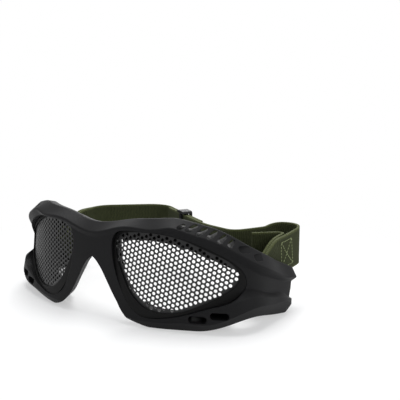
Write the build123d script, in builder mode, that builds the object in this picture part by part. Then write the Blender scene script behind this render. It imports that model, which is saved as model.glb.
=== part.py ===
"""Mesh safety goggles: a soft wrap-round frame, two perforated steel lenses, foam and a strap."""

import os
from math import atan2, cos, degrees, hypot, radians, sin, tan

from build123d import *

# Overall sizes in millimetres. Z = 0 is the table, X = 0 the middle of the nose, -Y the front
FRAME_WIDTH = 165.0
FRAME_HEIGHT = 57.4
WRAP_DEPTH = 73.3  # front of the nose bridge to the temple tips
NOSE_Y = -54.9
FOOT = 0.4  # height of the rounded underside that is flattened

# Stand-out and set-back of the frame's edges from its side panels
BROW_OVERHANG = 4.2
BROW_SETBACK = 6.5
RIDGE_OVERHANG = 6.3
UNDERCUT = 1.6
WALL = 8.5
TOE_LIFT = 0.8
CAP_STEP = 1.0
TOP_RADIUS = 1.2
CREASE_RADIUS = 1.0
HOLLOW_RADIUS = 1.2
RIDGE_RADIUS = 0.9
INNER_RADIUS = 0.8

# Stations of the wrap from the nose to a temple tip. Places across and back are shares of the
# half width and the wrap depth, heights are shares of the frame height
ACROSS_SHARES = [0, 0.170, 0.339, 0.509, 0.667, 0.800, 0.903, 0.952, 0.960, 0.960, 0.954]
BACK_SHARES = [0, 0.004, 0.023, 0.074, 0.151, 0.243, 0.359, 0.509, 0.686, 0.850, 1]
TOP_SHARES = [0.891, 0.920, 0.962, 0.984, 0.961, 0.903, 0.813, 0.703, 0.593, 0.496, 0.402]
CREASE_SHARES = [0.810, 0.863, 0.897, 0.903, 0.872, 0.798, 0.680, 0.556, 0.447, 0.363, 0.307]
PANEL_SHARES = [0.761, 0.812, 0.853, 0.853, 0.808, 0.727, 0.604, 0.481, 0.388, 0.315, 0.268]
FLOOR_SHARES = [0.205, 0.200, 0.195, 0.192, 0.218, 0.289, 0.380, 0.345, 0.265, 0.207, 0.166]
SHELF_SHARES = [0.110, 0.108, 0.106, 0.125, 0.172, 0.244, 0.312, 0.287, 0.223, 0.167, 0.128]
RIDGE_SHARES = [0.082, 0.080, 0.078, 0.082, 0.098, 0.118, 0.211, 0.219, 0.176, 0.128, 0.097]
BASE_SHARES = [0, 0, 0, 0, 0, 0.030, 0.095, 0.100, 0.050, 0.008, 0]

# The same stations, as shares of the set-back, stand-outs, undercut and wall depth
TOP_IN_SHARES = [0.77, 1.00, 0.92, 0.76, 0.74, 0.76, 0.64, 0.30, 0.18, 0.15, 0.15]
CREASE_OUT_SHARES = [0.29, 0.29, 0.42, 0.54, 0.50, 0.38, 0.50, 0.74, 0.79, 0.71, 0.64]
SHELF_OUT_SHARES = [0.12, 0.12, 0.14, 0.20, 0.34, 0.60, 0.80, 0.66, 0.50, 0.40, 0.34]
RIDGE_OUT_SHARES = [0.17, 0.17, 0.20, 0.30, 0.50, 0.80, 1.00, 0.80, 0.60, 0.50, 0.44]
BASE_OUT_SHARES = [-1, -1, -1, -1, -1, -0.2, 0.6, 0.5, 0.4, 0.4, 0.3]
WALL_SHARES = [0.94, 1, 1, 1, 0.94, 0.82, 0.59, 0.42, 0.35, 0.35, 0.35]

# Rear end of a temple from the side, as shares of the wrap depth and the frame height
TIP_SHARES = [(0.930, 0.470), (0.990, 0.388), (0.998, 0.322), (0.978, 0.284), (0.970, 0.210),
              (0.940, 0.120), (0.908, 0.050), (0.840, -0.030)]

# Nose opening, right half from its top, as shares of its half width and height
NOSE_HALF_WIDTH = 33.0
NOSE_HEIGHT = 32.8
NOSE_FLARE = 28.0  # degrees that its walls open towards the face
NOSE_DEPTH = 17.0  # the walls open this far back and run straight behind it
FOAM_NOSE_FLARE = 24.0
FOAM_NOSE_TOE = 5.0  # extra half width at the foot of the foam's nose opening
NOSE_SHARES = [(0.170, 0.840), (0.380, 0.520), (0.480, 0.335), (0.620, 0.180), (0.780, 0.075)]

# Lens surface: an upright cylinder that leans back, seen along the lens plane's own axes
LENS_X = 43.8
LENS_BACK = 9.4
LENS_Z = 28.0
LENS_YAW = 21.4
LENS_LEAN = 5.6
LENS_CURVE = 98.0
SEAT_WIDTH = 68.6
SEAT_HEIGHT = 43.6
SEAT_SHARES = [(0.544, -0.034), (0.508, 0.095), (0.400, 0.232), (0.150, 0.405), (-0.060, 0.476),
               (-0.280, 0.484), (-0.425, 0.435), (-0.455, 0.180), (-0.430, -0.025),
               (-0.375, -0.240), (-0.310, -0.400), (-0.225, -0.500), (-0.090, -0.516),
               (0.140, -0.442), (0.330, -0.344), (0.490, -0.240)]
OPENING_SHARES = [(0.500, 0.000), (0.470, 0.110), (0.315, 0.258), (0.080, 0.408), (-0.100, 0.458),
                  (-0.290, 0.458), (-0.410, 0.400), (-0.425, 0.170), (-0.385, 0.000),
                  (-0.298, -0.256), (-0.195, -0.396), (-0.075, -0.446), (0.100, -0.418),
                  (0.300, -0.285), (0.440, -0.150)]

# Perforated sheet and the bezel that holds it in its seat
SHEET = 0.6
BEZEL = 1.0
SEAT_PLAY = 0.15
SHEET_INSET = 0.6
HOLE_PITCH = 2.5
HOLE_DIAMETER = 1.75
HOLE_LEAN = 8.5  # degrees
EYE_MARGIN = 0.3
EYE_DEPTH = 7.0  # the eye openings run straight this far behind the lens plane
EYE_FLARE = 18.0  # degrees that they widen from there towards the face
CUT = 60.0  # reach of the cutting blocks

# Vents and dimples, placed along the stations
SLOT_PLACES = [3.69, 4.05, 4.45, 4.85, 5.26, 5.64]
SLOT_LENGTHS = [4.2, 6.6, 6.8, 6.6, 6.4, 5.2]
SLOT_WIDTH = 3.0
SLOT_LEAN = 50.0
SLOT_REACH = 16.0
DIMPLE_PLACES = [6.25, 6.95]
DIMPLE_LENGTH = 8.0
DIMPLE_WIDTH = 4.0
DIMPLE_DEPTH = 0.6
VENT_PLACES = [4.30, 5.10]
VENT_LENGTH = 9.4
VENT_WIDTH = 3.6
VENT_DROP = 0.9

# Strap, and the bars inside the temples that it loops round
STRAP_WIDTH = 21.0
STRAP = 1.5
LAYER_GAP = 0.25
STRAP_CLEARANCE = 2.3  # temple wall to the strap beside it
ANCHOR_BACK = 50.3
ANCHOR_Z = 19.2
ANCHOR_TILT = 33.0
LOOP_INNER = 3.1
BAR_RADIUS = 1.5
LUG = 2.0
LUG_DEPTH = 5.0
LUG_PLAY = 1.5
LUG_SINK = 1.5
LEG_LENGTH = 19.0
LOOP_OPEN = 1.5  # the loop's inner leg runs straight this far past the bar
LOOP_CLOSE = 8.0
LOOP_ROUND = 0.98
BEND_RADIUS = 1.5

# Strap corners from above, as shares of its half width and of its run behind the anchors
STRAP_REACH = 60.0
SIDE_TURN_SHARE = 0.735
RUN_SHARES = [(0.780, 0.735), (0.600, 0.280), (0.273, 0.400)]
RUN_RADII = [9.0, 8.0, 7.0, 40.0]
REAR_CORNER_SHARE = (-0.574, 1.033)
REAR_RADIUS = 14.0
LEFT_TURN_SHARE = 0.600
LEFT_RADIUS = 12.0
OVERLAP_SHARES = (0.12, 0.82)
TAIL_SHARES = [(0.976, 0.500), (0.779, 0.267)]
TAIL_RADIUS = 2.2
SEWN_SHARE = 0.420

# Stitched boxes beside the temples and the hem stitch of the loose end
THREAD = 0.5
THREAD_HEIGHT = 0.3
BOX_LENGTH = 11.0
BOX_HEIGHT = 15.0
BOX_START = 3.0
HEM_INSET = 3.0

# Slider on the doubled run behind the head
SLIDER_LENGTH = 10.0
SLIDER_BAR = 2.4
SLIDER_THICKNESS = 1.3
SLIDER_RAIL = 1.6
SLIDER_PLAY = 0.35
SLIDER_SHARE = 0.47

# Foam pads behind the lenses
FOAM = 6.0
FOAM_GAP = 0.2
FOAM_LIFT = 2.0
FOAM_DROP = 4.0
FOAM_MARGIN = 0.5
FOAM_EYE_FLARE = 8.0
FOAM_RADIUS = 1.5
FOAM_PLACES = [0.15, 1, 2, 3, 4, 5, 6]

stations = list(zip(ACROSS_SHARES, BACK_SHARES, TOP_SHARES, CREASE_SHARES, PANEL_SHARES,
                    FLOOR_SHARES, SHELF_SHARES, RIDGE_SHARES, BASE_SHARES, TOP_IN_SHARES,
                    CREASE_OUT_SHARES, SHELF_OUT_SHARES, RIDGE_OUT_SHARES, BASE_OUT_SHARES,
                    WALL_SHARES))
SECTION_RADII = [TOP_RADIUS, CREASE_RADIUS, HOLLOW_RADIUS, HOLLOW_RADIUS, RIDGE_RADIUS,
                 RIDGE_RADIUS, TOP_RADIUS, INNER_RADIUS, INNER_RADIUS]


def frame_corners(row):
    """Corners of the frame's section at one station: distance out of the side panel, height."""
    top, crease, panel, floor, shelf, ridge, base = [
        share * FRAME_HEIGHT - FOOT for share in row[2:9]]
    return [
        (-row[9] * BROW_SETBACK, top),
        (row[10] * BROW_OVERHANG, crease),
        (0, panel),
        (0, floor),
        (row[11] * RIDGE_OVERHANG, shelf),
        (row[12] * RIDGE_OVERHANG, ridge),
        (row[13] * UNDERCUT, base),
        (-row[14] * WALL, base + TOE_LIFT),
        (-row[14] * WALL - CAP_STEP, top - CAP_STEP),
    ]


def foam_corners(row):
    """Corners of the foam's section at one station, just behind the frame."""
    top, base = [share * FRAME_HEIGHT - FOOT for share in (row[2], row[8])]
    front = -row[14] * WALL - CAP_STEP - FOAM_GAP
    return [(front, base + FOAM_LIFT), (front, top - FOAM_DROP),
            (front - FOAM, top - FOAM_DROP), (front - FOAM, base + FOAM_LIFT)]


def row_at(place):
    """The shares at any place along the stations, mixed from its two neighbours."""
    low = min(int(place), len(stations) - 2)
    part = place - low
    return [a + (b - a) * part for a, b in zip(stations[low], stations[low + 1])]


def point_at(place):
    """Point on the side panel's line, seen from above."""
    row = row_at(abs(place))
    side = -1 if place < 0 else 1
    return Vector(side * row[0] * FRAME_WIDTH / 2, NOSE_Y + row[1] * WRAP_DEPTH)


def out_at(place, reach=1):
    """Level direction out of the frame at a place."""
    last = len(stations) - 1
    run = point_at(min(place + reach, last)) - point_at(max(place - reach, -last))
    return Vector(run.Y, -run.X).normalized()


def wrap_loft(places, corners, radii):
    """A solid through one section with rounded corners at each of the places."""
    faces = []
    for place in places:
        out = out_at(place)
        plane = Plane(point_at(place), x_dir=out, z_dir=out.cross(Vector(0, 0, 1)))
        with BuildSketch(plane) as sketch:
            with BuildLine():
                FilletPolyline(*corners(row_at(abs(place))), radius=radii, close=True)
            make_face()
        faces.append(sketch.sketch)
    return loft(sections=faces, mode=Mode.PRIVATE)


# Lens plane: x across the lens, y up it, z out of its front
yaw, lean = radians(LENS_YAW), radians(LENS_LEAN)
lens_plane = Plane(
    origin=(LENS_X, NOSE_Y + LENS_BACK, LENS_Z),
    x_dir=(cos(yaw), sin(yaw), 0),
    z_dir=(sin(yaw) * cos(lean), -cos(yaw) * cos(lean), sin(lean)),
)
lens_floor = Plane(origin=lens_plane.origin, x_dir=lens_plane.x_dir, z_dir=lens_plane.y_dir)


def lens_outline(shares, margin):
    """Points of the seat's or the opening's outline in the lens plane, grown by a margin."""
    points = [Vector(a * SEAT_WIDTH, b * SEAT_HEIGHT) for a, b in shares]
    grown = []
    for i, point in enumerate(points):
        along = (points[(i + 1) % len(points)] - points[i - 1]).normalized()
        grown.append(point + Vector(along.Y, -along.X) * margin)
    return grown


def lens_block(shares, margin, flare=0):
    """A block along the lens normal with such an outline, widening towards the face if flared."""
    faces = []
    for depth in (-CUT / 4, EYE_DEPTH, CUT / 2):
        wider = max(depth - EYE_DEPTH, 0) * tan(radians(flare))
        with BuildSketch(lens_plane.offset(-depth)) as sketch:
            with BuildLine():
                Spline(*lens_outline(shares, margin + wider), periodic=True)
            make_face()
        faces.append(sketch.sketch)
    return loft(sections=faces, ruled=True, mode=Mode.PRIVATE)


def lens_layer(behind, ahead):
    """The layer between two distances ahead of the lens cylinder."""
    with BuildPart() as layer:
        with BuildSketch(lens_floor):
            with Locations((0, LENS_CURVE)):
                Circle(LENS_CURVE + ahead)
                Circle(LENS_CURVE + behind, mode=Mode.SUBTRACT)
            Rectangle(2 * CUT, CUT, mode=Mode.INTERSECT)
        extrude(amount=CUT, both=True)
    return layer.part


def band_plane(place, first, second):
    """A plane on the frame face between two of its edges: x along the wrap, z out of the face."""
    corners = frame_corners(row_at(abs(place)))
    out = out_at(place)
    low, high = [point_at(place) + out * corners[edge][0] + Vector(0, 0, corners[edge][1])
                 for edge in (second, first)]
    along = out.cross(Vector(0, 0, -1))
    return Plane((low + high) / 2, x_dir=along, z_dir=along.cross(high - low))


def nose_block(angle, toe=0):
    """A block through the nose opening, growing wider and higher down to its depth."""
    faces = []
    for depth in (-WALL, NOSE_DEPTH, CUT / 2):
        flare = min(depth, NOSE_DEPTH) * tan(radians(angle))
        right = [(a * (NOSE_HALF_WIDTH + toe) + flare, b * NOSE_HEIGHT) for a, b in NOSE_SHARES]
        left = [(-x, z) for x, z in reversed(right)]
        foot = NOSE_HALF_WIDTH + toe + flare
        with BuildSketch(Plane.XZ.offset(-NOSE_Y - depth)) as sketch:
            with BuildLine():
                Spline((-foot, -FOOT), *left, (0, NOSE_HEIGHT + flare), *right, (foot, -FOOT))
                Polyline((foot, -FOOT), (foot, -WALL), (-foot, -WALL), (-foot, -FOOT))
            make_face()
        faces.append(sketch.sketch)
    return loft(sections=faces, ruled=True, mode=Mode.PRIVATE)


last_station = len(stations) - 1
wall_x = ACROSS_SHARES[-2] * FRAME_WIDTH / 2 - WALL_SHARES[-2] * WALL
strap_x = wall_x - STRAP_CLEARANCE - STRAP / 2
inner_x = strap_x - STRAP - LAYER_GAP
bar_x = strap_x - STRAP / 2 - LOOP_INNER
anchor_y = NOSE_Y + ANCHOR_BACK
tilt = radians(ANCHOR_TILT)

# Anchor plane: x across, y along the strap's rising leg, z along the bar
anchor_plane = Plane((0, anchor_y, ANCHOR_Z), x_dir=(1, 0, 0), z_dir=(0, -sin(tilt), cos(tilt)))
corner_y = anchor_y + LEG_LENGTH * cos(tilt)
level_z = ANCHOR_Z + LEG_LENGTH * sin(tilt)
level_plane = Plane((0, 0, level_z))
seam_plane = Plane((0, corner_y, level_z), x_dir=(1, 0, 0), z_dir=(0, cos(tilt / 2), sin(tilt / 2)))


def through_slot(place, first, second, drop, length, width, turn):
    """A rounded slot through the frame between two of its edges, cut level towards the face."""
    with BuildPart() as block:
        with BuildSketch(band_plane(place, first, second)):
            with Locations((0, -drop)):
                SlotOverall(length, width, rotation=turn)
        extrude(amount=SLOT_REACH, dir=out_at(place), both=True)
    return block.part


def dimple(place):
    """The hollow of one shallow dimple in the brow face."""
    with BuildPart() as block:
        with BuildSketch(band_plane(place, 0, 1).offset(-DIMPLE_DEPTH)):
            SlotOverall(DIMPLE_LENGTH, DIMPLE_WIDTH)
        extrude(amount=DIMPLE_WIDTH)
    return block.part


# What is cut from the right half of the frame: lens seat, sight line, slots, vents and dimples
cuts = [lens_block(SEAT_SHARES, 0) & lens_layer(0, CUT / 2),
        lens_block(OPENING_SHARES, EYE_MARGIN, EYE_FLARE)]
cuts += [through_slot(place, 0, 1, 0, length, SLOT_WIDTH, 90 - SLOT_LEAN)
         for place, length in zip(SLOT_PLACES, SLOT_LENGTHS)]
cuts += [through_slot(place, 4, 5, VENT_DROP, VENT_LENGTH, VENT_WIDTH, 0) for place in VENT_PLACES]
cuts += [dimple(place) for place in DIMPLE_PLACES]

# Right half of the outer frame: the wrap, its tip, then the nose, lens, vent and strap features
with BuildPart() as frame_half:
    add(wrap_loft(range(-last_station, last_station + 1), frame_corners, SECTION_RADII))
    with BuildSketch(Plane.XZ):
        with Locations((FRAME_WIDTH / 2, FRAME_HEIGHT / 2)):
            Rectangle(FRAME_WIDTH, FRAME_HEIGHT)
    extrude(amount=FRAME_WIDTH, both=True, mode=Mode.INTERSECT)
    with BuildSketch(Plane.YZ):
        with BuildLine():
            tip = [(NOSE_Y + a * WRAP_DEPTH, b * FRAME_HEIGHT) for a, b in TIP_SHARES]
            Polyline(*tip, (tip[-1][0], -CUT), (CUT, -CUT), (CUT, CUT), (tip[0][0], CUT), close=True)
        make_face()
    extrude(amount=FRAME_WIDTH, mode=Mode.SUBTRACT)
    with BuildSketch(anchor_plane):
        with Locations((bar_x, 0)):
            Circle(BAR_RADIUS)
    extrude(amount=STRAP_WIDTH / 2 + LUG_PLAY + LUG / 2, both=True)
    lug_run = wall_x + LUG_SINK - bar_x + LUG_DEPTH / 2
    for end in (1, -1):
        with BuildSketch(anchor_plane.offset(end * (STRAP_WIDTH / 2 + LUG_PLAY))):
            with Locations((bar_x - LUG_DEPTH / 2 + lug_run / 2, 0)):
                RectangleRounded(lug_run, LUG_DEPTH, LUG_DEPTH / 3)
        extrude(amount=end * LUG)
    add([nose_block(NOSE_FLARE), *cuts], clean=False, mode=Mode.SUBTRACT)

# Outer frame: both halves as one moulding
with BuildPart() as outer_frame:
    add(frame_half.part)
    mirror(about=Plane.YZ)

# Lens sheet with its holes, and the bezel over its edge
step = Vector(0, HOLE_PITCH)
rows = [step.rotate(Axis.Z, -HOLE_LEAN), step.rotate(Axis.Z, -HOLE_LEAN - 60)]
with BuildSketch() as seen:
    with BuildLine():
        Spline(*lens_outline(OPENING_SHARES, -HOLE_DIAMETER / 2), periodic=True)
    make_face()
reach = int(SEAT_WIDTH / HOLE_PITCH)
spots = [rows[0] * i + rows[1] * j for i in range(-reach, reach) for j in range(-reach, reach)]
spots = [spot for spot in spots if abs(spot.X) < SEAT_WIDTH / 2 + HOLE_PITCH
         and abs(spot.Y) < SEAT_HEIGHT / 2 + HOLE_PITCH and seen.face().is_inside(spot)]
with BuildPart() as lens_mesh_right:
    add(lens_block(SEAT_SHARES, -SHEET_INSET) & lens_layer(0, SHEET))
    with BuildSketch(lens_plane):
        with Locations(*spots):
            Circle(HOLE_DIAMETER / 2)
    extrude(amount=CUT / 2, both=True, clean=False, mode=Mode.SUBTRACT)
with BuildPart() as lens_rim_right:
    add(lens_block(SEAT_SHARES, -SEAT_PLAY) & lens_layer(SHEET, SHEET + BEZEL))
    add(lens_block(OPENING_SHARES, 0), mode=Mode.SUBTRACT)

# Foam pad behind the right half of the frame
with BuildPart() as face_foam_right:
    add(wrap_loft(FOAM_PLACES, foam_corners, FOAM_RADIUS))
    add(lens_block(OPENING_SHARES, FOAM_MARGIN, FOAM_EYE_FLARE), mode=Mode.SUBTRACT)
    add(nose_block(FOAM_NOSE_FLARE, FOAM_NOSE_TOE), mode=Mode.SUBTRACT)


def strap_point(share):
    """Point on the strap's plan from its shares."""
    return Vector(share[0] * strap_x, anchor_y + share[1] * STRAP_REACH)


def ribbon(points, radii, plane):
    """Webbing of full width whose middle line lies in a plane."""
    with BuildPart() as band:
        with BuildSketch(plane.offset(-STRAP_WIDTH / 2)):
            with BuildLine():
                FilletPolyline(*points, radius=radii)
            trace(line_width=STRAP)
        extrude(amount=STRAP_WIDTH)
    return band.part


def sewn_loop():
    """The rising leg of the right strap: round the bar and back along its own inner side."""
    loop = strap_x - bar_x
    past = LEG_LENGTH + LOOP_CLOSE
    back = bar_x - loop
    points = [(strap_x, past), (strap_x, -loop), (back, -loop), (back, LOOP_OPEN),
              (inner_x, LOOP_CLOSE), (inner_x, past)]
    turn = LOOP_ROUND * loop
    return ribbon(points, [turn, turn, BEND_RADIUS, BEND_RADIUS], anchor_plane)


def side_block(ahead):
    """A block in front of or behind the seam between a rising leg and the level strap."""
    with BuildPart() as block:
        with BuildSketch(seam_plane):
            with Locations((bar_x, 0)):
                Rectangle(FRAME_WIDTH / 4, FRAME_WIDTH)
        extrude(amount=-CUT if ahead else CUT)
    return block.part


start_y = corner_y - LOOP_CLOSE
run_start, run_corner = strap_point(RUN_SHARES[-1]), strap_point(REAR_CORNER_SHARE)
run = run_corner - run_start
behind = Vector(-run.Y, run.X).normalized() * -1
left_shift = behind * (STRAP + LAYER_GAP)

# Right strap: sewn round its bar, with a loose end, then round the head to the slider
with BuildPart() as strap_right:
    turns = [strap_point((1, SIDE_TURN_SHARE)), *[strap_point(share) for share in RUN_SHARES]]
    add(ribbon([(strap_x, start_y), *turns, run_start + run * OVERLAP_SHARES[1]], RUN_RADII, level_plane))
    tail = [strap_point(share) for share in TAIL_SHARES]
    add(ribbon([(inner_x, start_y), (inner_x, tail[0].Y), tail[1]], TAIL_RADIUS, level_plane))
    add(side_block(True), mode=Mode.SUBTRACT)
    add(sewn_loop() - side_block(False))

# Left strap: sewn round its bar, then round the head behind the right strap's end
with BuildPart() as strap_left:
    rear = [run_start + run * OVERLAP_SHARES[0] + left_shift, run_corner + left_shift,
            strap_point((-1, LEFT_TURN_SHARE)), (-strap_x, start_y)]
    add(ribbon(rear, [REAR_RADIUS, LEFT_RADIUS], level_plane))
    sewn_y = anchor_y + SEWN_SHARE * STRAP_REACH
    with BuildSketch(level_plane.offset(-STRAP_WIDTH / 2)):
        with Locations((-inner_x, (start_y + sewn_y) / 2)):
            Rectangle(STRAP, sewn_y - start_y)
    extrude(amount=STRAP_WIDTH)
    add(mirror(side_block(True), about=Plane.YZ, mode=Mode.PRIVATE), mode=Mode.SUBTRACT)
    add(mirror(sewn_loop() - side_block(False), about=Plane.YZ, mode=Mode.PRIVATE))

# Stitches
with BuildPart() as stitch_box_right:
    with BuildSketch(Plane.YZ.offset(strap_x + STRAP / 2)):
        with Locations((corner_y + BOX_START + BOX_LENGTH / 2, level_z)):
            Rectangle(BOX_LENGTH, BOX_HEIGHT)
            Rectangle(BOX_LENGTH - 2 * THREAD, BOX_HEIGHT - 2 * THREAD, mode=Mode.SUBTRACT)
            for turn in (1, -1):
                Rectangle(hypot(BOX_LENGTH, BOX_HEIGHT) - 2 * THREAD, THREAD,
                          rotation=turn * degrees(atan2(BOX_HEIGHT, BOX_LENGTH)))
    extrude(amount=THREAD_HEIGHT)
hem_run = (tail[1] - tail[0]).normalized()
hem_plane = Plane(Vector(tail[1].X, tail[1].Y, level_z), x_dir=hem_run, z_dir=Vector(-hem_run.Y, hem_run.X))
with BuildPart() as stitch_hem:
    with BuildSketch(hem_plane.offset(STRAP / 2)):
        with Locations((-HEM_INSET, 0)):
            Rectangle(THREAD, STRAP_WIDTH - HEM_INSET)
            Rectangle(HEM_INSET, THREAD)
    extrude(amount=THREAD_HEIGHT)

# Slider round both layers: two bars behind them, one in front
stack = STRAP + LAYER_GAP / 2 + SLIDER_PLAY
middle = run_start + run * SLIDER_SHARE + left_shift / 2
slider_plane = Plane(Vector(middle.X, middle.Y, level_z), x_dir=run, z_dir=behind)
opening = STRAP_WIDTH + 2 * SLIDER_PLAY
with BuildPart() as slider:
    with BuildSketch(slider_plane.offset(-stack - SLIDER_THICKNESS)):
        RectangleRounded(SLIDER_LENGTH, opening + 2 * SLIDER_RAIL, SLIDER_RAIL)
    extrude(amount=2 * (stack + SLIDER_THICKNESS))
    with BuildSketch(slider_plane.offset(-stack)):
        Rectangle(2 * SLIDER_LENGTH, opening)
    extrude(amount=2 * stack, mode=Mode.SUBTRACT)
    with BuildSketch(slider_plane):
        Rectangle(SLIDER_LENGTH - 2 * SLIDER_BAR, opening)
    extrude(amount=CUT / 2, mode=Mode.SUBTRACT)
    with BuildSketch(slider_plane):
        with Locations((SLIDER_LENGTH / 2 + SLIDER_BAR / 2, 0), (-SLIDER_LENGTH / 2 - SLIDER_BAR / 2, 0)):
            Rectangle(SLIDER_LENGTH, opening)
    extrude(amount=-CUT / 2, mode=Mode.SUBTRACT)

nodes = {
    "outer_frame": outer_frame.part,
    "lens_mesh_right": lens_mesh_right.part,
    "lens_rim_right": lens_rim_right.part,
    "face_foam_right": face_foam_right.part,
    "stitch_box_right": stitch_box_right.part,
    "strap_right": strap_right.part,
    "strap_left": strap_left.part,
    "stitch_hem": stitch_hem.part,
    "slider": slider.part,
}
for name in ("lens_mesh", "lens_rim", "face_foam", "stitch_box"):
    nodes[name + "_left"] = mirror(nodes[name + "_right"], about=Plane.YZ, mode=Mode.PRIVATE)

os.makedirs("parts", exist_ok=True)
for name, shape in nodes.items():
    shape.label = name
    export_step(shape, "parts/" + name + ".step")
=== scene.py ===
"""Looks of the mesh safety goggles: materials, foam, webbing straps, stitching and the studio."""

from math import ceil, cos, pi, radians, sin, tan

import bmesh
import bpy
from mathutils import Matrix, Vector, noise


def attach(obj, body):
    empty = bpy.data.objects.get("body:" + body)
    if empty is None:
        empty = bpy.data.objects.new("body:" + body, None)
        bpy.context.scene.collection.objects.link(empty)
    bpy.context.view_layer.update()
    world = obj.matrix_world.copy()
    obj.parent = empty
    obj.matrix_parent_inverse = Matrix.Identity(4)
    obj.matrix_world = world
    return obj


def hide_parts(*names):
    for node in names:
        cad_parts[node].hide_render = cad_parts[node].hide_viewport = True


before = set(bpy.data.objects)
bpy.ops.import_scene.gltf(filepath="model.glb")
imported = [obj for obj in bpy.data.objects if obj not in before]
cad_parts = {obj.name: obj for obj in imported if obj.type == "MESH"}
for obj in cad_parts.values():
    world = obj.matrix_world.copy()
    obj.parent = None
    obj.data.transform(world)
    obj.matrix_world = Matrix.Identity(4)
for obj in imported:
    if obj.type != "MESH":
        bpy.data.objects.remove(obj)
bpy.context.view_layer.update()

bl_info = {
    "name": "Mesh safety goggles",
    "version": (1, 0, 0),
    "blender": (4, 5, 0),
    "location": "3D View > Sidebar > Goggles",
    "description": "Builds soft goods, materials and a studio round the goggles' packed frame",
    "category": "Object",
}

MM = 0.001
ARC_STEP = radians(9)

# Anchor bars and the plane of the strap legs that loop round them
BAR_X = 69.325
ANCHOR_Y = -4.6
ANCHOR_Z = 19.2
LEAN = 33.0
LEG = 19.0
LEVEL_Z = 29.55
OUTER_X = 73.175
INNER_X = 71.425
LOOP = OUTER_X - BAR_X
CORNER_Y = ANCHOR_Y + LEG * cos(radians(LEAN))

# Loop round an anchor bar, as distances along its leaning legs
LEG_END = 14.0
INNER_BEND = 8.5
BACK_BEND = 2.0
BEND_RADIUS = 2.0

# Webbing, in millimetres: spacing of its rows, rounding of its line, sway and selvages
ROW_SPACING = 0.8
ROUTE_PASSES = 6
SWAY = 0.55
SWAY_SCALE = 0.045
SWAY_FADE = 8.0  # the webbing starts to sway behind the legs, over this length
COLUMNS = 9
SELVAGE_SHARE = 0.4  # share of the thickness that the rounded selvage takes off the width
SELVAGE_BEVEL = 0.42

# Stitching, in millimetres
THREAD_LIFT = 0.08
THREAD_WIDTH = 0.55
THREAD_HEIGHT = 0.36
STITCH_GAP_SHARE = 0.10
BOX_HALF = 7.2
BOX_LENGTH = 11.0
BOX_Y = 14.3
BOX_REACH = 0.8  # how near the outer layer's line a row of the box may lie
BOX_LEAST_Y = 8.0
HEM_HALF = 9.0
HEM_ALONG = 3.2


def leg_point(x, along, radius):
    """A route point on a rising leg: place, corner radius and lean of the webbing's width."""
    return (x, ANCHOR_Y + along * cos(radians(LEAN)), ANCHOR_Z + along * sin(radians(LEAN)),
            radius, LEAN)


def level_point(x, y, radius, lift=0.0):
    """A route point on the level part of the strap."""
    return (x, y, LEVEL_Z + lift, radius, 0.0)


def loop_points(side):
    """The route round one anchor bar, from the inner leg to the outer one."""
    back = BAR_X - LOOP
    return [
        leg_point(side * INNER_X, LEG_END, 0.0),
        leg_point(side * INNER_X, INNER_BEND, BEND_RADIUS),
        leg_point(side * back, BACK_BEND, BEND_RADIUS),
        leg_point(side * back, -LOOP, 0.98 * LOOP),
        leg_point(side * OUTER_X, -LOOP, 0.98 * LOOP),
        leg_point(side * OUTER_X, LEG_END, 0.0),
    ]


# Routes of the two straps, from the loose or sewn end round the bar to the end behind the head
RIGHT_ROUTE = [
    level_point(57.0, 11.42, 0.0, 0.9),
    level_point(INNER_X, 25.4, 2.2, 0.9),
    level_point(INNER_X, 16.0, 0.0, 0.5),
    level_point(INNER_X, CORNER_Y, 6.0),
    *loop_points(1),
    level_point(OUTER_X, CORNER_Y, 6.0),
    level_point(OUTER_X, 17.0, 0.0),
    level_point(OUTER_X + 1.6, 39.8, 9.0, 3.0),
    level_point(57.4, 40.2, 7.0, 2.4),
    level_point(54.2, 33.0, 5.0, 0.4),
    level_point(43.9, 12.2, 7.0, 0.4),
    level_point(19.98, 19.4, 40.0),
    level_point(-30.84, 50.54, 0.0),
]
LEFT_ROUTE = [
    level_point(-INNER_X, 20.6, 0.0),
    level_point(-INNER_X, 16.0, 0.0),
    level_point(-INNER_X, CORNER_Y, 6.0),
    *loop_points(-1),
    level_point(-OUTER_X, CORNER_Y, 6.0),
    level_point(-OUTER_X, 17.0, 0.0),
    level_point(-OUTER_X, 31.4, 12.0),
    level_point(-41.09, 58.87, 14.0),
    level_point(13.45, 25.45, 0.0),
]

# Studio, in metres: the camera's place and axes, and where the lamps point
CAMERA_PLACE = (0.2458, -0.3057, 0.1219)
CAMERA_RIGHT = (0.8171, 0.5765, 0.0)
CAMERA_UP = (-0.0974, 0.1381, 0.9856)
CAMERA_BACK = (0.5683, -0.8053, 0.1690)
LAMP_TARGET = (0, 0, 0.02)

# Foam pads: their mesh, and the limb under the brow that is made deeper
FOAM_VOXEL = 0.9 * MM
FOAM_WELD = 0.01 * MM
FOAM_PASSES = 6
UPPER_LIMB = 30 * MM  # above this height the foam is the limb under the brow
LIMB_RISE = 3.6 * MM
LIMB_DROP = 6.0 * MM
FACING = 0.55  # least upward or downward share of a normal that counts as facing that way
NOSE_CLEAR = 11 * MM  # nearer the middle than this the foam stays as it is


class FrameSettings(bpy.types.PropertyGroup):
    """What a user would change on the outer frame."""
    color: bpy.props.FloatVectorProperty(
        name="Frame colour", description="Colour of the soft moulding", subtype="COLOR", size=3,
        min=0.0, max=1.0, default=(0.0055, 0.0055, 0.0060))
    roughness: bpy.props.FloatProperty(
        name="Frame roughness", description="How dull the moulding is", subtype="FACTOR",
        min=0.0, max=1.0, default=0.58)
    rounding: bpy.props.FloatProperty(
        name="Edge rounding", description="Shaded radius of the moulded edges, in metres",
        subtype="DISTANCE", unit="LENGTH", min=0.0, default=0.0005)


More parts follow.
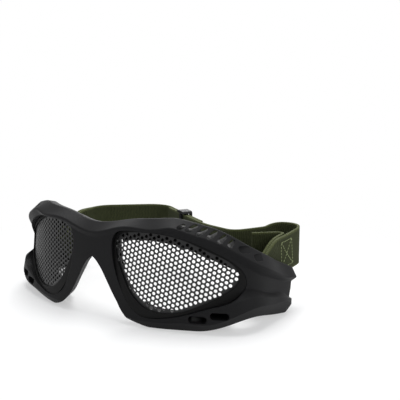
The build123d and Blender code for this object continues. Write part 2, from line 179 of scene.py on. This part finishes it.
class LensSettings(bpy.types.PropertyGroup):
    """What a user would change on the lenses and their bezels."""
    color: bpy.props.FloatVectorProperty(
        name="Lens colour", description="Colour of the painted steel", subtype="COLOR", size=3,
        min=0.0, max=1.0, default=(0.007, 0.007, 0.0075))
    rim_color: bpy.props.FloatVectorProperty(
        name="Bezel colour", description="Colour of the bezels", subtype="COLOR", size=3,
        min=0.0, max=1.0, default=(0.004, 0.004, 0.004))
    roughness: bpy.props.FloatProperty(
        name="Lens roughness", description="How dull the paint is", subtype="FACTOR",
        min=0.0, max=1.0, default=0.42)


class StrapSettings(bpy.types.PropertyGroup):
    """What a user would change on the straps and their stitching."""
    width: bpy.props.FloatProperty(
        name="Strap width", description="Width of the webbing, in metres", subtype="DISTANCE",
        unit="LENGTH", min=0.005, default=0.021)
    thickness: bpy.props.FloatProperty(
        name="Strap thickness", description="Thickness of the webbing, in metres",
        subtype="DISTANCE", unit="LENGTH", min=0.0005, default=0.0015)
    color: bpy.props.FloatVectorProperty(
        name="Webbing colour", description="Colour of the raised yarn", subtype="COLOR", size=3,
        min=0.0, max=1.0, default=(0.048, 0.054, 0.020))
    shade: bpy.props.FloatVectorProperty(
        name="Webbing shade", description="Colour between the yarns", subtype="COLOR", size=3,
        min=0.0, max=1.0, default=(0.014, 0.018, 0.006))
    thread_color: bpy.props.FloatVectorProperty(
        name="Thread colour", description="Colour of the stitching", subtype="COLOR", size=3,
        min=0.0, max=1.0, default=(0.26, 0.30, 0.14))
    stitch: bpy.props.FloatProperty(
        name="Stitch length", description="Length of one stitch, in metres", subtype="DISTANCE",
        unit="LENGTH", min=0.0005, default=0.0019)


class StageSettings(bpy.types.PropertyGroup):
    """What a user would change on the studio."""
    floor: bpy.props.FloatVectorProperty(
        name="Floor colour", description="Colour of the floor", subtype="COLOR", size=3,
        min=0.0, max=1.0, default=(0.97, 0.97, 0.97))
    key: bpy.props.FloatProperty(
        name="Key light", description="Power of the main light", subtype="POWER", unit="POWER",
        min=0.0, default=7.0)
    lens: bpy.props.FloatProperty(
        name="Lens", description="Focal length of the camera, in millimetres",
        subtype="DISTANCE_CAMERA", min=10.0, default=61.71)


class Value:
    """A number output of a shader node. Arithmetic on it adds Math nodes."""

    def __init__(self, shader, socket):
        self.shader = shader
        self.socket = socket

    def math(self, operation, first, second=0.0, third=0.0):
        return Value(self.shader, self.shader.node(
            "ShaderNodeMath", {"operation": operation}, {0: first, 1: second, 2: third}))

    def __add__(self, other):
        return self.math("ADD", self, other)

    def __radd__(self, other):
        return self.math("ADD", other, self)

    def __sub__(self, other):
        return self.math("SUBTRACT", self, other)

    def __rsub__(self, other):
        return self.math("SUBTRACT", other, self)

    def __mul__(self, other):
        return self.math("MULTIPLY", self, other)

    def __rmul__(self, other):
        return self.math("MULTIPLY", other, self)

    def wave(self):
        """A sine of this value, moved to run from 0 to 1."""
        return self.math("SINE", self) * 0.5 + 0.5

    def within(self, low, high):
        """0 below low, 1 above high, smooth between."""
        return Value(self.shader, self.shader.node(
            "ShaderNodeMapRange", {"interpolation_type": "SMOOTHSTEP"},
            {"Value": self, "From Min": low, "From Max": high}))


class Shader:
    """Builds the nodes of one material."""

    def __init__(self, name):
        self.material = bpy.data.materials.new(name)
        self.material.use_nodes = True
        self.tree = self.material.node_tree
        self.tree.nodes.clear()

    def node(self, kind, settings=None, inputs=None, output=0):
        """Adds a node, makes its settings, then fills its inputs, and returns one output."""
        made = self.tree.nodes.new(kind)
        for key, value in (settings or {}).items():
            setattr(made, key, value)
        for key, value in (inputs or {}).items():
            if isinstance(value, Value):
                value = value.socket
            if isinstance(value, bpy.types.NodeSocket):
                self.tree.links.new(value, made.inputs[key])
            else:
                made.inputs[key].default_value = value
        return made.outputs[output]

    def coordinates(self, output="Object"):
        return self.node("ShaderNodeTexCoord", output=output)

    def noise(self, vector, scale, detail=2.0, roughness=0.5):
        return Value(self, self.node(
            "ShaderNodeTexNoise", {},
            {"Vector": vector, "Scale": scale, "Detail": detail, "Roughness": roughness}))

    def axis(self, vector, output):
        return Value(self, self.node("ShaderNodeSeparateXYZ", {}, {0: vector}, output))

    def mix(self, factor, first, second):
        """Colour between two colours, each a link or three numbers."""
        colors = [(*c, 1.0) if isinstance(c, tuple) else c for c in (first, second)]
        return self.node("ShaderNodeMix", {"data_type": "RGBA"},
                         {0: factor, 6: colors[0], 7: colors[1]}, 2)

    def bump(self, height, distance, strength=1.0, normal=None):
        inputs = {"Height": height, "Distance": distance, "Strength": strength}
        if normal is not None:
            inputs["Normal"] = normal
        return self.node("ShaderNodeBump", {}, inputs)

    def rounded(self, radius):
        return self.node("ShaderNodeBevel", {"samples": 6}, {"Radius": radius})

    def edges(self, radius):
        """1 along sharp edges, 0 on flat faces."""
        facing = Value(self, self.node(
            "ShaderNodeVectorMath", {"operation": "DOT_PRODUCT"},
            {0: self.node("ShaderNodeNewGeometry", output="Normal"), 1: self.rounded(radius)},
            "Value"))
        return (1.0 - facing).within(0.01, 0.16)

    def finish(self, **inputs):
        named = {key.replace("_", " "): value for key, value in inputs.items()}
        surface = self.node("ShaderNodeBsdfPrincipled", {}, named)
        self.node_output(surface)
        return self.material

    def node_output(self, surface):
        made = self.tree.nodes.new("ShaderNodeOutputMaterial")
        self.tree.links.new(surface, made.inputs["Surface"])


def rgb(color):
    """A colour setting as three plain numbers."""
    return tuple(float(part) for part in color)


def scaled(color, factor):
    """A colour made lighter or darker."""
    return tuple(min(1.0, part * factor) for part in color)


def moulded(name, color, roughness, grain, radius, sheen=0.13):
    """Soft or hard moulded plastic: fine grain, faint flow marks and round edges, with the colour
    lighter along the sharp edges.
    """
    shader = Shader(name)
    place = shader.coordinates()
    fine = shader.noise(place, 2600.0, 3.0, 0.6)
    broad = shader.noise(place, 45.0, 3.0, 0.55)
    tint = shader.mix(broad.within(0.3, 0.7), scaled(color, 0.88), scaled(color, 1.12))
    # the colour is made lighter along the sharp edges, more where the broad noise is high
    edge_lightening = shader.edges(radius) * (0.35 + broad * 0.5)
    tint = shader.mix(edge_lightening, tint, scaled(color, 2.2))
    normal = shader.bump(fine, grain, 0.5, shader.rounded(radius))
    return shader.finish(
        **{"Base Color": tint, "Roughness": roughness + (fine - 0.5) * 0.10 + (broad - 0.5) * 0.08,
           "Normal": normal, "Specular IOR Level": sheen})


def painted_steel(name, color, roughness):
    """Sprayed paint on perforated sheet, with a faint orange-peel surface."""
    shader = Shader(name)
    place = shader.coordinates()
    peel = shader.noise(place, 900.0, 2.0, 0.5)
    dust = shader.noise(place, 120.0, 4.0, 0.6)
    tint = shader.mix(dust.within(0.35, 0.75), color, scaled(color, 1.5))
    return shader.finish(
        **{"Base Color": tint, "Roughness": roughness + (dust - 0.5) * 0.12,
           "Normal": shader.bump(peel, 0.00006, 0.5), "Specular IOR Level": 0.35})


def webbing(name, color, shade, width):
    """Flat woven webbing from its own UV map, which is in millimetres: along, across."""
    shader = Shader(name)
    place = shader.coordinates("UV")
    along = shader.axis(place, "X")
    across = shader.axis(place, "Y")
    turn = 2 * pi
    ribs = (along * (turn / 1.05) + (across * (turn / 4.2)).wave() * 2.2).wave()
    yarns = (across * (turn / 0.7)).wave()
    weave = ribs * 0.72 + yarns * 0.28
    worn = shader.noise(place, 0.35, 4.0, 0.6)
    fibre = shader.noise(place, 9.0, 2.0, 0.6)
    tint = shader.mix(weave * 0.75 + fibre * 0.25, shade, color)
    tint = shader.mix(worn.within(0.35, 0.75), shader.mix(0.2, tint, shade), tint)
    # painted highlight: the colour is made lighter near both edges of the strap, standing in for
    # light caught by its edges
    middle = across - width / 2
    painted_edge_highlight = middle.math("ABSOLUTE", middle).within(width / 2 - 1.3, width / 2 - 0.5)
    tint = shader.mix(painted_edge_highlight * 0.55, tint, scaled(color, 1.9))
    height = weave * 0.8 + fibre * 0.2
    return shader.finish(
        **{"Base Color": tint, "Roughness": 0.86 - weave * 0.08,
           "Normal": shader.bump(height, 0.00022, 0.9), "Specular IOR Level": 0.2})


def thread(name, color):
    """Twisted sewing thread."""
    shader = Shader(name)
    place = shader.coordinates()
    twist = shader.noise(place, 2400.0, 2.0, 0.6)
    tint = shader.mix(twist.within(0.3, 0.7), scaled(color, 0.7), color)
    return shader.finish(**{"Base Color": tint, "Roughness": 0.75,
                            "Normal": shader.bump(twist, 0.0001, 0.6)})


def open_foam(name, color):
    """Open-cell foam: small dark pores in a dull surface."""
    shader = Shader(name)
    place = shader.coordinates()
    cells = Value(shader, shader.node("ShaderNodeTexVoronoi", {"feature": "F1"},
                                      {"Vector": place, "Scale": 1100.0}))
    pores = cells.within(0.2, 0.55)
    tint = shader.mix(pores, scaled(color, 0.5), color)
    return shader.finish(**{"Base Color": tint, "Roughness": 0.95,
                            "Normal": shader.bump(pores, 0.00025, 0.8),
                            "Specular IOR Level": 0.08})


def paint(obj, material):
    """Gives a piece one material in place of any that it has."""
    obj.data.materials.clear()
    obj.data.materials.append(material)


def deselect():
    """Leaves nothing selected."""
    if bpy.context.mode != "OBJECT":
        bpy.ops.object.mode_set(mode="OBJECT")
    bpy.ops.object.select_all(action="DESELECT")


def choose(obj):
    """Leaves only this object selected and active."""
    deselect()
    obj.select_set(True)
    bpy.context.view_layer.objects.active = obj


def apply_modifier(obj, kind, **settings):
    """Adds one modifier to an object and applies it."""
    choose(obj)
    made = obj.modifiers.new(kind.title(), kind)
    for key, value in settings.items():
        setattr(made, key, value)
    bpy.ops.object.modifier_apply(modifier=made.name)


def rounded_route(route):
    """Points along a route whose corners are arcs, each with the lean of the webbing there."""
    places = [Vector(point[:3]) for point in route]
    line = [(places[0], route[0][4])]
    for before, here, after, row in zip(places, places[1:], places[2:], route[1:]):
        radius, lean = row[3], row[4]
        first, second = (before - here).normalized(), (after - here).normalized()
        angle = first.angle(second)
        if radius == 0 or pi - angle < 0.01:
            line.append((here, lean))
            continue
        reach = radius / tan(angle / 2)
        middle = here + (first + second).normalized() * (radius / sin(angle / 2))
        start, end = here + first * reach - middle, here + second * reach - middle
        turn, axis = start.angle(end), start.cross(end)
        steps = max(3, ceil(turn / ARC_STEP))
        for step in range(steps + 1):
            line.append((middle + Matrix.Rotation(turn * step / steps, 3, axis) @ start, lean))
    line.append((places[-1], route[-1][4]))
    return line


def even_route(line, spacing):
    """The same line with even spacing: places, leans and the length along it."""
    lengths = [0.0]
    for (a, _), (b, _) in zip(line, line[1:]):
        lengths.append(lengths[-1] + (b - a).length)
    count = ceil(lengths[-1] / spacing)
    stations = []
    low = 0
    for index in range(count + 1):
        along = lengths[-1] * index / count
        while low < len(line) - 2 and lengths[low + 1] < along:
            low += 1
        span = max(lengths[low + 1] - lengths[low], 1e-9)
        share = min(max((along - lengths[low]) / span, 0.0), 1.0)
        (a, lean_a), (b, lean_b) = line[low], line[low + 1]
        stations.append([a.lerp(b, share), lean_a + (lean_b - lean_a) * share])
    return stations, lengths[-1]


def soften(stations, passes):
    """Relaxes a line's corners, with its ends held."""
    for _ in range(passes):
        fresh = [list(station) for station in stations]
        for index in range(1, len(stations) - 1):
            before, here, after = (stations[index + step] for step in (-1, 0, 1))
            fresh[index][0] = here[0] * 0.5 + (before[0] + after[0]) * 0.25
            fresh[index][1] = here[1] * 0.5 + (before[1] + after[1]) * 0.25
        stations = fresh
    return stations


class Ribbon:
    """A strap's middle line, with the directions of its width and its outer face."""

    def __init__(self, route, outer):
        line = rounded_route(route)
        stations, self.length = even_route(line, ROW_SPACING)
        self.stations = soften(stations, ROUTE_PASSES)
        self.outer = outer

    def at(self, along):
        """Place, run, width and outward directions at a distance along, in millimetres."""
        count = len(self.stations) - 1
        spot = min(max(along / self.length, 0.0), 1.0) * count
        low = min(int(spot), count - 1)
        share = spot - low
        (a, lean_a), (b, lean_b) = self.stations[low], self.stations[low + 1]
        ahead = self.stations[min(low + 2, count)][0] - self.stations[max(low - 1, 0)][0]
        run = ahead.normalized()
        lean = radians(lean_a + (lean_b - lean_a) * share)
        width = Vector((0, -sin(lean), cos(lean)))
        width = (width - run * width.dot(run)).normalized()
        out = run.cross(width) * self.outer
        return a.lerp(b, share), run, width, out

    def point(self, along, across, off=0.0):
        """A point on the strap at a distance along and across, off its middle layer."""
        place, _, width, out = self.at(along)
        free = min(max((place.y - CORNER_Y) / SWAY_FADE, 0.0), 1.0)
        sway = noise.noise(place * SWAY_SCALE) * SWAY * free
        return place + width * across + out * (off + sway)


def build_strap(name, ribbon, settings, material):
    """The flat strip is laid along its route, given its thickness and round selvages."""
    deselect()
    width, thick = settings.width / MM, settings.thickness / MM
    bpy.ops.mesh.primitive_grid_add(x_subdivisions=len(ribbon.stations) - 1,
                                    y_subdivisions=COLUMNS - 1, size=2)
    strap = bpy.context.active_object
    strap.name = name
    mesh = strap.data
    uv = mesh.uv_layers.active.data
    for vertex in mesh.vertices:
        along = (vertex.co.x + 1) / 2 * ribbon.length
        across = vertex.co.y / 2 * (width - thick * SELVAGE_SHARE)
        vertex.co = ribbon.point(along, across) * MM
    for loop in uv:
        loop.uv = (loop.uv[0] * ribbon.length, loop.uv[1] * width)
    apply_modifier(strap, "SOLIDIFY", thickness=thick * MM, offset=0.0)
    apply_modifier(strap, "BEVEL", width=SELVAGE_BEVEL * MM, segments=3, limit_method="ANGLE",
                   angle_limit=radians(50))
    choose(strap)
    bpy.ops.object.mode_set(mode="EDIT")
    bpy.ops.mesh.select_all(action="SELECT")
    bpy.ops.mesh.normals_make_consistent(inside=False)
    bpy.ops.object.mode_set(mode="OBJECT")
    bpy.ops.object.shade_smooth_by_angle(angle=radians(50))
    paint(strap, material)
    return strap


def stitch_template():
    """One stitch along X, one long and one thick, as a low bead with rounded ends."""
    deselect()
    bpy.ops.mesh.primitive_uv_sphere_add(segments=8, ring_count=6, radius=0.5)
    bead = bpy.context.active_object
    bpy.ops.object.mode_set(mode="EDIT")
    bpy.ops.mesh.select_all(action="SELECT")
    bpy.ops.transform.rotate(value=pi / 2, orient_axis="Y", center_override=(0, 0, 0))
    bpy.ops.object.mode_set(mode="OBJECT")
    return bead


def sew(name, ribbon, lines, settings, off, material):
    """Rows of stitches on a strap. Each line is (along, across) to (along, across)."""
    bead = stitch_template()
    made = bmesh.new()
    length = settings.stitch / MM
    for (a, b), (c, d) in lines:
        start, end = Vector((a, b)), Vector((c, d))
        count = max(1, round((end - start).length / length))
        for index in range(count):
            first = start.lerp(end, (index + STITCH_GAP_SHARE) / count)
            last = start.lerp(end, (index + 1 - STITCH_GAP_SHARE) / count)
            p = ribbon.point(first.x, first.y, off)
            q = ribbon.point(last.x, last.y, off)
            out = ribbon.at((first.x + last.x) / 2)[3]
            run = (q - p).normalized()
            side = out.cross(run).normalized()
            turn = Matrix((run, side, run.cross(side))).transposed().to_4x4()
            size = Matrix.Diagonal(((q - p).length, THREAD_WIDTH, THREAD_HEIGHT, 1.0))
            place = Matrix.Translation((p + q) / 2)
            before = len(made.verts)
            made.from_mesh(bead.data)
            made.verts.ensure_lookup_table()
            move = Matrix.Scale(MM, 4) @ place @ turn @ size
            for vertex in made.verts[before:]:
                vertex.co = move @ vertex.co
    mesh = bpy.data.meshes.new(name)
    made.to_mesh(mesh)
    made.free()
    bpy.data.objects.remove(bead)
    piece = bpy.data.objects.new(name, mesh)
    bpy.context.scene.collection.objects.link(piece)
    choose(piece)
    bpy.ops.object.shade_smooth()
    paint(piece, material)
    return piece


def shift_faces(pad, way, floor, rise):
    """Moves what faces up (1) or down (-1) above a height and beside the nose."""
    for vertex in pad.data.vertices:
        beside_nose = abs(vertex.co.x) > NOSE_CLEAR
        vertex.select = beside_nose and vertex.co.z > floor and vertex.normal.z * way > FACING
    choose(pad)
    bpy.ops.object.mode_set(mode="EDIT")
    bpy.ops.transform.translate(value=(0, 0, rise))
    bpy.ops.object.mode_set(mode="OBJECT")


def build_foam(name, node, material):
    """A soft pad in the place of a node: its copy is remeshed and its edges relaxed."""
    choose(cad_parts[node])
    bpy.ops.object.duplicate()
    pad = bpy.context.active_object
    pad.name = name
    pad.parent = None
    pad.matrix_world = Matrix.Identity(4)
    for key in list(pad.keys()):
        del pad[key]
    bpy.ops.object.mode_set(mode="EDIT")
    bpy.ops.mesh.select_all(action="SELECT")
    bpy.ops.mesh.remove_doubles(threshold=FOAM_WELD)
    bpy.ops.object.mode_set(mode="OBJECT")
    apply_modifier(pad, "REMESH", mode="VOXEL", voxel_size=FOAM_VOXEL)
    shift_faces(pad, 1, UPPER_LIMB, LIMB_RISE)
    shift_faces(pad, -1, UPPER_LIMB, -LIMB_DROP)
    apply_modifier(pad, "SMOOTH", factor=0.5, iterations=FOAM_PASSES)
    choose(pad)
    bpy.ops.object.shade_smooth()
    paint(pad, material)
    return pad


RIBBONS = {
    "right": Ribbon(RIGHT_ROUTE, 1),
    "left": Ribbon(LEFT_ROUTE, -1),
}


class GOGGLES_OT_frame(bpy.types.Operator):
    """Gives the moulded outer frame its soft satin finish"""
    bl_idname = "goggles.frame"
    bl_label = "Finish outer frame"

    def execute(self, context):
        settings = context.scene.goggles_frame
        material = moulded("soft frame", rgb(settings.color), settings.roughness, 0.00005,
                           settings.rounding)
        paint(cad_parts["outer_frame"], material)
        return {"FINISHED"}


class GOGGLES_OT_lenses(bpy.types.Operator):
    """Paints the perforated lenses and their bezels"""
    bl_idname = "goggles.lenses"
    bl_label = "Finish lenses"

    def execute(self, context):
        settings = context.scene.goggles_lens
        steel = painted_steel("painted steel", rgb(settings.color), settings.roughness)
        bezel = moulded("bezel", rgb(settings.rim_color), 0.6, 0.00004, 0.0003, 0.12)
        for side in ("left", "right"):
            paint(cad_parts["lens_mesh_" + side], steel)
            paint(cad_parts["lens_rim_" + side], bezel)
        return {"FINISHED"}


class GOGGLES_OT_foam(bpy.types.Operator):
    """Puts the soft foam pads behind the lenses"""
    bl_idname = "goggles.foam"
    bl_label = "Add foam pads"

    def execute(self, context):
        material = open_foam("open foam", (0.012, 0.012, 0.012))
        for side in ("left", "right"):
            pad = build_foam("foam_pad_" + side, "face_foam_" + side, material)
            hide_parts("face_foam_" + side)
            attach(pad, "frame")
        return {"FINISHED"}


class GOGGLES_OT_straps(bpy.types.Operator):
    """Lays the two webbing straps along their routes"""
    bl_idname = "goggles.straps"
    bl_label = "Add straps"

    def execute(self, context):
        settings = context.scene.goggles_strap
        material = webbing("webbing", rgb(settings.color), rgb(settings.shade),
                           settings.width / MM)
        for side, ribbon in RIBBONS.items():
            strap = build_strap("webbing_" + side, ribbon, settings, material)
            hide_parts("strap_" + side)
            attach(strap, "strap")
        return {"FINISHED"}


class GOGGLES_OT_stitching(bpy.types.Operator):
    """Sews the crossed boxes beside the temples and the hem of the loose end"""
    bl_idname = "goggles.stitching"
    bl_label = "Add stitching"

    def execute(self, context):
        settings = context.scene.goggles_strap
        material = thread("thread", rgb(settings.thread_color))
        off = settings.thickness / MM / 2 + THREAD_LIFT
        for side, ribbon in RIBBONS.items():
            start = self.box_start(ribbon)
            low, high = (start, -BOX_HALF), (start + BOX_LENGTH, BOX_HALF)
            corners = [low, (high[0], low[1]), high, (low[0], high[1])]
            lines = list(zip(corners, corners[1:] + corners[:1]))
            lines += [(corners[0], corners[2]), (corners[1], corners[3])]
            piece = sew("box_stitch_" + side, ribbon, lines, settings, off, material)
            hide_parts("stitch_box_" + side)
            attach(piece, "strap")
        hem = [((HEM_ALONG, -HEM_HALF), (HEM_ALONG, HEM_HALF))]
        piece = sew("hem_stitch", RIBBONS["right"], hem, settings, -off, material)
        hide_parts("stitch_hem")
        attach(piece, "strap")
        return {"FINISHED"}

    def box_start(self, ribbon):
        """Distance along the ribbon to the box on its outer layer, just past the leg."""
        spots = [(abs(place.y - BOX_Y), index) for index, (place, _) in enumerate(ribbon.stations)
                 if abs(abs(place.x) - OUTER_X) < BOX_REACH and place.y > BOX_LEAST_Y]
        return min(spots)[1] / (len(ribbon.stations) - 1) * ribbon.length


class GOGGLES_OT_slider(bpy.types.Operator):
    """Gives the strap slider its moulded finish"""
    bl_idname = "goggles.slider"
    bl_label = "Finish slider"

    def execute(self, context):
        material = moulded("slider", (0.010, 0.010, 0.010), 0.42, 0.00004, 0.0004)
        paint(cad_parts["slider"], material)
        return {"FINISHED"}


class GOGGLES_OT_stage(bpy.types.Operator):
    """Adds the floor, lights, white surround and the photograph's camera"""
    bl_idname = "goggles.stage"
    bl_label = "Add studio"

    def execute(self, context):
        settings = context.scene.goggles_stage
        self.floor(rgb(settings.floor))
        self.light("key", (-0.05, 0.10, 0.95), 0.6, settings.key)
        self.light("side", (0.90, -0.20, 0.45), 0.4, settings.key * 0.30)
        self.light("back", (-0.45, 0.70, 0.60), 0.5, settings.key * 0.5)
        self.surround(context.scene)
        self.camera(context.scene, settings.lens)
        context.scene.view_settings.view_transform = "Standard"
        return {"FINISHED"}

    def floor(self, color):
        deselect()
        bpy.ops.mesh.primitive_plane_add(size=40.0, location=(0, 0, 0))
        floor = bpy.context.active_object
        floor.name = "floor"
        shader = Shader("floor")
        place = shader.coordinates()
        grain = shader.noise(place, 30.0, 2.0, 0.5)
        near = shader.node("ShaderNodeBsdfDiffuse", {}, {
            "Color": shader.mix(grain.within(0.3, 0.7), scaled(color, 0.985), color)})
        glow = shader.node("ShaderNodeEmission", {}, {"Color": (1.0, 1.0, 1.0, 1.0)})
        rays = [Value(shader, shader.node("ShaderNodeLightPath", output=output))
                for output in ("Is Camera Ray", "Is Glossy Ray", "Is Transmission Ray")]
        seen = rays[0].math("MAXIMUM", rays[0], rays[0].math("MAXIMUM", rays[1], rays[2]))
        away = Value(shader, shader.node("ShaderNodeVectorMath", {"operation": "LENGTH"},
                                         {0: place}, "Value")).within(0.06, 0.22)
        surface = shader.node("ShaderNodeMixShader", {},
                              {0: seen * (0.45 + away * 0.55), 1: near, 2: glow})
        shader.node_output(surface)
        paint(floor, shader.material)

    def light(self, name, place, size, power):
        deselect()
        bpy.ops.object.light_add(type="AREA", location=place)
        lamp = bpy.context.active_object
        lamp.name = name
        lamp.data.energy = power
        lamp.data.shape = "DISK"
        lamp.data.size = size
        aim = Vector(LAMP_TARGET) - Vector(place)
        lamp.rotation_euler = aim.to_track_quat("-Z", "Y").to_euler()

    def surround(self, scene):
        world = bpy.data.worlds.new("surround")
        scene.world = world
        world.use_nodes = True
        tree = world.node_tree
        tree.nodes.clear()
        rays = tree.nodes.new("ShaderNodeLightPath")
        soft = tree.nodes.new("ShaderNodeBackground")
        soft.inputs["Color"].default_value = (0.93, 0.96, 1.0, 1.0)
        soft.inputs["Strength"].default_value = 0.38
        white = tree.nodes.new("ShaderNodeBackground")
        white.inputs["Color"].default_value = (1.0, 1.0, 1.0, 1.0)
        white.inputs["Strength"].default_value = 1.0
        seen = rays.outputs["Is Camera Ray"]
        for other in ("Is Transmission Ray", "Is Glossy Ray"):
            either = tree.nodes.new("ShaderNodeMath")
            either.operation = "MAXIMUM"
            tree.links.new(seen, either.inputs[0])
            tree.links.new(rays.outputs[other], either.inputs[1])
            seen = either.outputs[0]
        mix = tree.nodes.new("ShaderNodeMixShader")
        tree.links.new(seen, mix.inputs[0])
        tree.links.new(soft.outputs[0], mix.inputs[1])
        tree.links.new(white.outputs[0], mix.inputs[2])
        out = tree.nodes.new("ShaderNodeOutputWorld")
        tree.links.new(mix.outputs[0], out.inputs["Surface"])

    def camera(self, scene, lens):
        deselect()
        bpy.ops.object.camera_add()
        camera = bpy.context.active_object
        camera.name = "photo camera"
        turn = Matrix((CAMERA_RIGHT, CAMERA_UP, CAMERA_BACK)).transposed().to_4x4()
        camera.matrix_world = Matrix.Translation(CAMERA_PLACE) @ turn
        camera.data.lens = lens
        camera.data.sensor_width = 36.0
        camera.data.clip_start = 0.01
        scene.camera = camera


GROUPS = [("goggles_frame", FrameSettings), ("goggles_lens", LensSettings),
          ("goggles_strap", StrapSettings), ("goggles_stage", StageSettings)]
STEPS = [GOGGLES_OT_frame, GOGGLES_OT_lenses, GOGGLES_OT_foam, GOGGLES_OT_straps,
         GOGGLES_OT_stitching, GOGGLES_OT_slider, GOGGLES_OT_stage]


class GOGGLES_PT_panel(bpy.types.Panel):
    """Settings and steps of the goggles"""
    bl_idname = "GOGGLES_PT_panel"
    bl_label = "Goggles"
    bl_space_type = "VIEW_3D"
    bl_region_type = "UI"
    bl_category = "Goggles"

    def draw(self, context):
        for name, group in GROUPS:
            box = self.layout.box()
            settings = getattr(context.scene, name)
            for key in group.__annotations__:
                box.prop(settings, key)
        for step in STEPS:
            self.layout.operator(step.bl_idname)


def register():
    """Registers the settings, the steps and the panel."""
    for name, group in GROUPS:
        bpy.utils.register_class(group)
        setattr(bpy.types.Scene, name, bpy.props.PointerProperty(type=group))
    for step in STEPS:
        bpy.utils.register_class(step)
    bpy.utils.register_class(GOGGLES_PT_panel)


def unregister():
    """Removes what register added."""
    bpy.utils.unregister_class(GOGGLES_PT_panel)
    for step in reversed(STEPS):
        bpy.utils.unregister_class(step)
    for name, group in reversed(GROUPS):
        delattr(bpy.types.Scene, name)
        bpy.utils.unregister_class(group)


def main():
    """Builds everything in order."""
    register()
    bpy.ops.goggles.stage()
    bpy.ops.goggles.frame()
    bpy.ops.goggles.lenses()
    bpy.ops.goggles.foam()
    bpy.ops.goggles.straps()
    bpy.ops.goggles.stitching()
    bpy.ops.goggles.slider()


if __name__ == "__main__":
    main()
